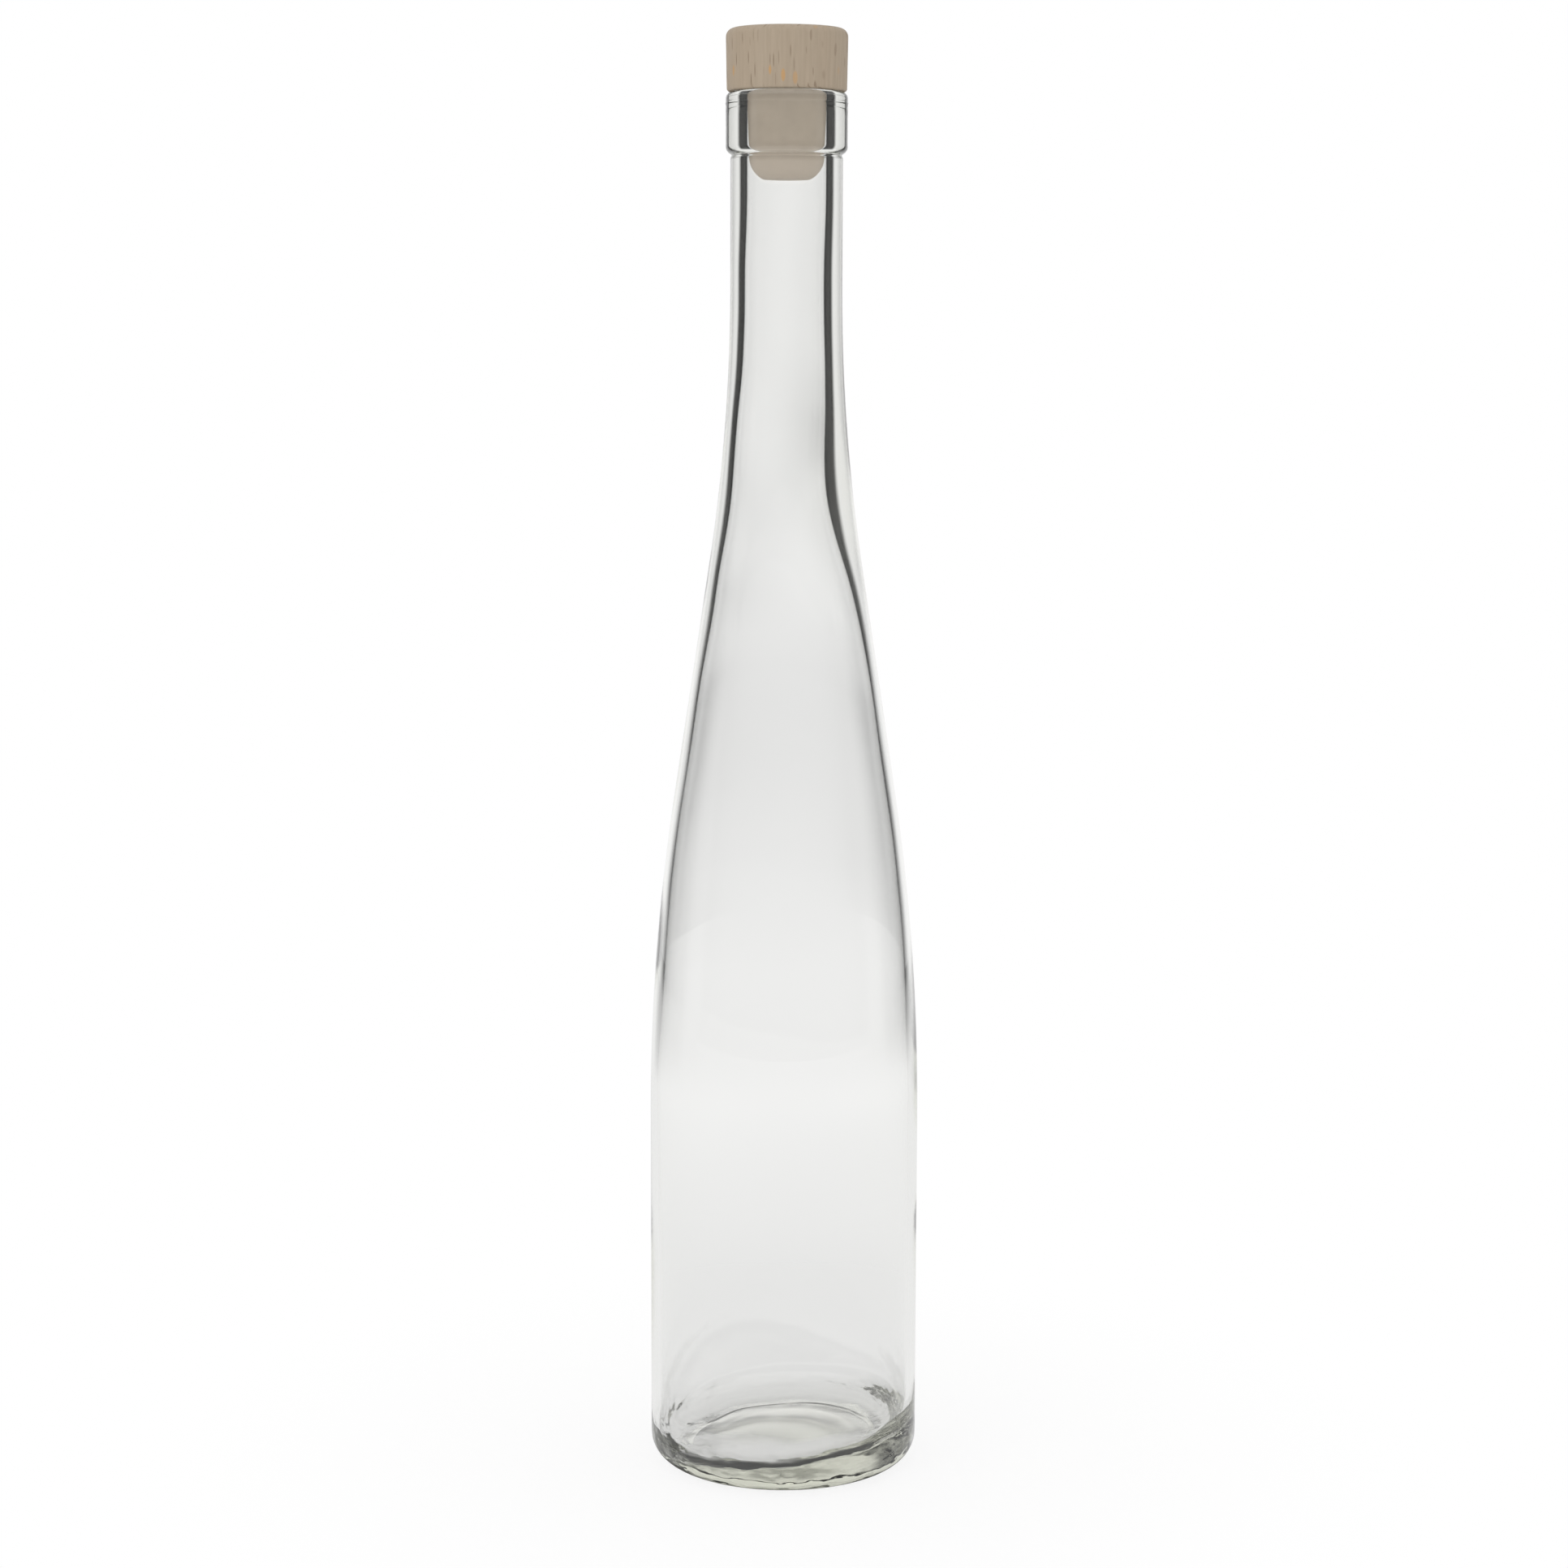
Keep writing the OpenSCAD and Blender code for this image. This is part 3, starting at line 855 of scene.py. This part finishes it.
# %% Model the head
cleared()
head_bottom = seat + SEAT_GAP
head_top = seat + HEAD_HEIGHT - HEAD_CROWN
bpy.ops.mesh.primitive_cylinder_add(vertices=HEAD_SIDES, radius=HEAD_RADIUS, depth=head_top - head_bottom,
                                    location=(0, 0, (head_top + head_bottom) / 2))
head = bpy.context.object
head.name = head.data.name = "stopper_beech_head"
bpy.ops.object.transform_apply(location=True, rotation=True, scale=True)
bpy.ops.object.mode_set(mode="EDIT")
select_where(head, "VERT", lambda p: p.z < head_bottom + MM)
taper_share = HEAD_FOOT_RADIUS / HEAD_RADIUS
bpy.ops.transform.resize(value=(taper_share, taper_share, 1), center_override=(0, 0, head_bottom))
select_where(head, "EDGE", lambda p: p.z > head_top - MM)
bpy.ops.mesh.bevel(offset=HEAD_EDGE, segments=HEAD_EDGE_STEPS, affect="EDGES", offset_type="OFFSET")
select_where(head, "EDGE", lambda p: p.z < head_bottom + MM)
bpy.ops.mesh.bevel(offset=HEAD_FOOT_EDGE, segments=HEAD_FOOT_STEPS, affect="EDGES", offset_type="OFFSET")
print("rims rounded", round(HEAD_EDGE / MM, 1), "and", round(HEAD_FOOT_EDGE / MM, 1), "mm")

# %% Dome the top
DOME_RINGS = 5
rim = HEAD_RADIUS - HEAD_EDGE
ring_share = 1 / (DOME_RINGS + 0.5)


def dome_rise(share):
    """Height of the dome over its rim, at a share of the way in from the rim to the middle."""
    return HEAD_CROWN * (share * 2 - share ** 2)


select_where(head, "FACE", lambda p: p.z > head_top - MM / 100 and math.hypot(p.x, p.y) < MM)
for ring in range(DOME_RINGS):
    bpy.ops.mesh.inset(thickness=rim * ring_share, depth=0)
    step_up = dome_rise((ring + 1) * ring_share) - dome_rise(ring * ring_share)
    bpy.ops.transform.translate(value=(0, 0, step_up))
bpy.ops.mesh.poke()
print("dome", round(HEAD_CROWN / MM, 1), "mm high")

# %% Cut the socket
select_where(head, "FACE", lambda p: p.z < head_bottom + MM / 100 and math.hypot(p.x, p.y) < MM)
bpy.ops.mesh.inset(thickness=HEAD_FOOT_RADIUS - HEAD_FOOT_EDGE - SOCKET_RADIUS, depth=0)
bpy.ops.mesh.extrude_region_move(TRANSFORM_OT_translate={"value": (0, 0, SOCKET_DEPTH)})
bpy.ops.mesh.poke()
bpy.ops.mesh.select_all(action="SELECT")
bpy.ops.mesh.normals_make_consistent(inside=False)
bpy.ops.object.mode_set(mode="OBJECT")
bpy.ops.object.shade_smooth_by_angle(angle=SHARP_ANGLE)
print("head", len(head.data.polygons), "faces, box", [round(v / MM, 2) for v in head.dimensions])

# %% [markdown]
# ## Beech
#
# Beech is a pale pinkish-brown wood with an almost even grain. What gives it away are its rays:
# thin plates that run from the middle of the tree outwards. Cut across, they are short dark
# dashes, and cut along their side they are broader flakes with an orange sheen, which is painted
# into their own colour. So the flecks are drawn as plates in space, long towards the tree's
# middle, thin across and a few millimetres tall, and the turned surface shows dashes or flakes by itself.

# %% Grain of the beech
# Degrees from the head's front round to the line through the tree's middle
TREE_MIDDLE = 48
# Fibres are 0.7 mm across, coarser than real ones so that they show, and drawn out along the grain
FIBRE_MM = 0.7
FIBRE_STRETCH = (1, 1, 0.06)
# Year rings are soft bands on the way out from the tree's middle
YEAR_RING_MM = 4.5
YEAR_RING_STRETCH = (0.12, 1, 0.03)

material, tree = new_material("turned_beech")
place = add_node(tree, "TexCoord").outputs["Object"]
grain = add_node(tree, "Mapping", inputs={"Vector": place, "Rotation": (0, 0, math.radians(TREE_MIDDLE))})
fibre_place = add_node(tree, "Mapping", inputs={"Vector": grain.outputs[0], "Scale": FIBRE_STRETCH})
fibres = add_node(tree, "TexNoise", inputs={"Vector": fibre_place.outputs[0],
                                            "Scale": 1 / (FIBRE_MM * MM), "Detail": 3.0})
ring_place = add_node(tree, "Mapping", inputs={"Vector": grain.outputs[0], "Scale": YEAR_RING_STRETCH})
rings = add_node(tree, "TexNoise", inputs={"Vector": ring_place.outputs[0],
                                           "Scale": 1 / (YEAR_RING_MM * MM), "Detail": 1.0})
print("fibres", FIBRE_MM, "mm, year rings", YEAR_RING_MM, "mm")

# %% Rays of the beech
# Spacing in millimetres: across the plates, towards the tree's middle, and up the grain
DASH_SPACING_MM, DASH_REACH = (0.6, 3.4, 8.0), 0.24
FLAKE_SPACING_MM, FLAKE_REACH = (2.6, 4.4, 9), 0.2
# A plate is whole to this share of its reach, and the faintest has this much of its colour
RAY_WHOLE_SHARE, RAY_FAINTEST = 0.6, 0.25


def ray_plates(tree, vector, spacing_mm, reach):
    """Near 1 inside scattered flat plates of the given spacing, and 0 outside."""
    scale = [1 / (gap * MM) for gap in spacing_mm]
    spot = add_node(tree, "Mapping", inputs={"Vector": vector, "Scale": scale})
    cells = add_node(tree, "TexVoronoi", inputs={"Vector": spot.outputs[0], "Scale": 1.0, "Randomness": 1.0})
    edge = add_node(tree, "MapRange", {"interpolation_type": "SMOOTHSTEP"},
                    {"Value": cells.outputs["Distance"], "From Min": reach,
                     "From Max": reach * RAY_WHOLE_SHARE, "To Min": 0.0, "To Max": 1.0})
    chance = add_node(tree, "SeparateColor", inputs={"Color": cells.outputs["Color"]})
    strength = add_node(tree, "MapRange", inputs={"Value": chance.outputs["Red"],
                                                  "To Min": RAY_FAINTEST, "To Max": 1.0})
    seen = add_node(tree, "Math", {"operation": "MULTIPLY"}, {0: edge.outputs[0], 1: strength.outputs[0]})
    return seen.outputs[0]


dashes = ray_plates(tree, grain.outputs[0], DASH_SPACING_MM, DASH_REACH)
flakes = ray_plates(tree, grain.outputs[0], FLAKE_SPACING_MM, FLAKE_REACH)
print("dashes every", DASH_SPACING_MM[0], "mm, flakes every", FLAKE_SPACING_MM[0], "mm")

# %% Colour and finish of the beech
BEECH_PALE = "#b7a997"
BEECH_MID = "#a29583"
BEECH_BAND = "#f4ece4"
BEECH_DASH = "#7f6d5a"
# The flakes' own colour, with a painted orange sheen in it
BEECH_FLAKE_AND_SHEEN = "#bd9565"
BEECH_ROUGHNESS = 0.62
BEECH_RISE = 0.03 * MM

ground = add_node(tree, "Mix", {"data_type": "RGBA"},
                  {"Factor": fibres.outputs["Fac"], "A": linear(BEECH_MID), "B": linear(BEECH_PALE)})
banded = add_node(tree, "Mix", {"data_type": "RGBA", "blend_type": "MULTIPLY"},
                  {"Factor": rings.outputs["Fac"], "A": ground.outputs["Result"], "B": linear(BEECH_BAND)})
dashed = add_node(tree, "Mix", {"data_type": "RGBA"},
                  {"Factor": dashes, "A": banded.outputs["Result"], "B": linear(BEECH_DASH)})
flaked = add_node(tree, "Mix", {"data_type": "RGBA"},
                  {"Factor": flakes, "A": dashed.outputs["Result"], "B": linear(BEECH_FLAKE_AND_SHEEN)})
relief = add_node(tree, "Math", {"operation": "SUBTRACT"}, {0: fibres.outputs["Fac"], 1: dashes})
bump = add_node(tree, "Bump", inputs={"Height": relief.outputs[0], "Distance": BEECH_RISE, "Strength": 0.6})
wood = add_node(tree, "BsdfPrincipled", inputs={"Base Color": flaked.outputs["Result"],
                                                "Roughness": BEECH_ROUGHNESS,
                                                "Specular IOR Level": 0.3, "Normal": bump.outputs[0]})
add_node(tree, "OutputMaterial", inputs={"Surface": wood.outputs[0]})
head.data.materials.append(material)
print(material.name, len(tree.nodes), "nodes")

# %% [markdown]
# ## The plug
#
# A smooth moulded plug of synthetic cork. It fills the bore, rounds in to a flat lower end, and
# carries a spigot that the head is glued onto. It is turned from its outline, as the glass was.

# %% Turn the plug
PLUG_GAP = 0.05 * MM
PLUG_LENGTH = 20.1 * MM
PLUG_EDGE = 5.6 * MM
PLUG_EDGE_TURN = 66
SPIGOT_RADIUS = 6 * MM
SPIGOT_LENGTH = 6.6 * MM
SPIGOT_CHAMFER = 0.8 * MM
SHOULDER_EDGE = 0.15 * MM
# The plug is this much slimmer at its tip, over this length
PLUG_SLIMMER = 0.45 * MM
PLUG_SLIM_LENGTH = 12 * MM
PLUG_STEPS = 128
PLUG_EDGE_STEPS, PLUG_END_RINGS = 16, 4

plug_radius = BORE_RADIUS - PLUG_GAP
plug_end = seat - PLUG_LENGTH
plug_curve = plug_end + PLUG_EDGE * math.sin(math.radians(PLUG_EDGE_TURN))
spigot_tip = seat + SPIGOT_LENGTH
plug_edge = arc(plug_radius - PLUG_SLIMMER - PLUG_EDGE, plug_curve, PLUG_EDGE, -PLUG_EDGE_TURN, 0,
                PLUG_EDGE_STEPS)
plug_foot = [(plug_edge[0][0] * i / PLUG_END_RINGS, plug_end) for i in range(PLUG_END_RINGS)]
plug_side = [(plug_radius - PLUG_SLIMMER * (1 - smooth((z - plug_curve) / PLUG_SLIM_LENGTH)), z)
             for z in spread(plug_curve + RING_STEP, seat - SHOULDER_EDGE, RING_STEP)]
plug_outline = (plug_foot + plug_edge + plug_side
                + [(plug_radius - SHOULDER_EDGE, seat), (SPIGOT_RADIUS, seat),
                   (SPIGOT_RADIUS, spigot_tip - SPIGOT_CHAMFER), (SPIGOT_RADIUS - SPIGOT_CHAMFER, spigot_tip),
                   (0, spigot_tip)])
plug = turned_piece("stopper_moulded_shank", plug_outline, PLUG_STEPS)
only(plug)
bpy.ops.object.shade_smooth_by_angle(angle=SHARP_ANGLE)

# %% [markdown]
# ## Moulded plug material
#
# A foamed thermoplastic, moulded with a fine matt skin. It has a faint mottle and no grain, and
# below the groove its rounded tip is a little paler, a painted light.

# %% Moulded plug material
PLUG_PALE = "#d2c5b5"
PLUG_DARK = "#c4b7a7"
# Painted light: the tip is paler below the glass's groove, where it comes out from under the band
PLUG_TIP_PAINTED_LIGHT = "#ddd0c1"
PLUG_TIP_FROM, PLUG_TIP_TO = 313 * MM, 311 * MM
PLUG_MOTTLE_MM = 3
PLUG_SKIN_MM, PLUG_SKIN_RISE = 0.35, 0.01 * MM
PLUG_ROUGHNESS = 0.6

material, tree = new_material("moulded_synthetic_cork")
place = add_node(tree, "TexCoord").outputs["Object"]
mottle = add_node(tree, "TexNoise", inputs={"Vector": place, "Scale": 1 / (PLUG_MOTTLE_MM * MM),
                                            "Detail": 2.0})
skin = add_node(tree, "TexNoise", inputs={"Vector": place, "Scale": 1 / (PLUG_SKIN_MM * MM),
                                          "Detail": 1.0})
colour = add_node(tree, "Mix", {"data_type": "RGBA"},
                  {"Factor": mottle.outputs["Fac"], "A": linear(PLUG_DARK), "B": linear(PLUG_PALE)})
axes = add_node(tree, "SeparateXYZ", inputs={"Vector": place})
tip_light_share = add_node(tree, "MapRange", {"interpolation_type": "SMOOTHSTEP"},
                     {"Value": axes.outputs["Z"], "From Min": PLUG_TIP_FROM, "From Max": PLUG_TIP_TO})
tip_lit = add_node(tree, "Mix", {"data_type": "RGBA"},
                  {"Factor": tip_light_share.outputs[0], "A": colour.outputs["Result"], "B": linear(PLUG_TIP_PAINTED_LIGHT)})
bump = add_node(tree, "Bump", inputs={"Height": skin.outputs["Fac"], "Distance": PLUG_SKIN_RISE,
                                      "Strength": 0.5})
moulded = add_node(tree, "BsdfPrincipled", inputs={"Base Color": tip_lit.outputs["Result"],
                                                   "Roughness": PLUG_ROUGHNESS,
                                                   "Specular IOR Level": 0.3, "Normal": bump.outputs[0]})
add_node(tree, "OutputMaterial", inputs={"Surface": moulded.outputs[0]})
plug.data.materials.append(material)
print(material.name, len(tree.nodes), "nodes")

# %% [markdown]
# ## The glue
#
# The glue stays the CAD node, because nothing shows of it: a thin amber cup between spigot and
# socket. It still gets a true material, for anyone who pulls the model apart.

# %% Set glue material
GLUE_DARK = "#c9b27a"
GLUE_PALE = "#dccb9c"
GLUE_STREAK_MM = 1.5
GLUE_ROUGHNESS = 0.28

material, tree = new_material("set_wood_glue")
place = add_node(tree, "TexCoord").outputs["Object"]
streaks = add_node(tree, "TexNoise", inputs={"Vector": place, "Scale": 1 / (GLUE_STREAK_MM * MM),
                                             "Detail": 2.0})
colour = add_node(tree, "Mix", {"data_type": "RGBA"},
                  {"Factor": streaks.outputs["Fac"], "A": linear(GLUE_DARK), "B": linear(GLUE_PALE)})
glue = add_node(tree, "BsdfPrincipled", inputs={"Base Color": colour.outputs["Result"],
                                                "Roughness": GLUE_ROUGHNESS})
add_node(tree, "OutputMaterial", inputs={"Surface": glue.outputs[0]})
glue_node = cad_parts["stopper_glue"]
glue_node.data.materials.clear()
glue_node.data.materials.append(material)
print(material.name, "on", glue_node.name)

# %% [markdown]
# ## Fixing the pieces to the frame
#
# Each piece rides on the body that it moves with, and stands for its CAD node, which is hidden.

# %% Ride and replace
for piece, body, node, slot in ((glass, "bottle", "bottle_glass", "clear_glass"),
                                (head, "stopper", "stopper_head", "beech"),
                                (plug, "stopper", "stopper_shank", "moulded_shank")):
    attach(piece, body)
    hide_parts(node)
    print(piece.name, "rides on", body, "and stands for", node)

# %% [markdown]
# ## Light paths
#
# Light is trapped between the two faces of the wall and bounces many times before it leaves, so
# the renderer is allowed more bounces than usual. The Standard view shows colours as written.

# %% Bounces and view
GLASS_BOUNCES = 32
MIRROR_BOUNCES = 24
MATT_BOUNCES = 4

scene.cycles.max_bounces = GLASS_BOUNCES
scene.cycles.transmission_bounces = GLASS_BOUNCES
scene.cycles.glossy_bounces = MIRROR_BOUNCES
scene.cycles.diffuse_bounces = MATT_BOUNCES
scene.view_settings.view_transform = "Standard"
print("bounces", scene.cycles.max_bounces, "view", scene.view_settings.view_transform)
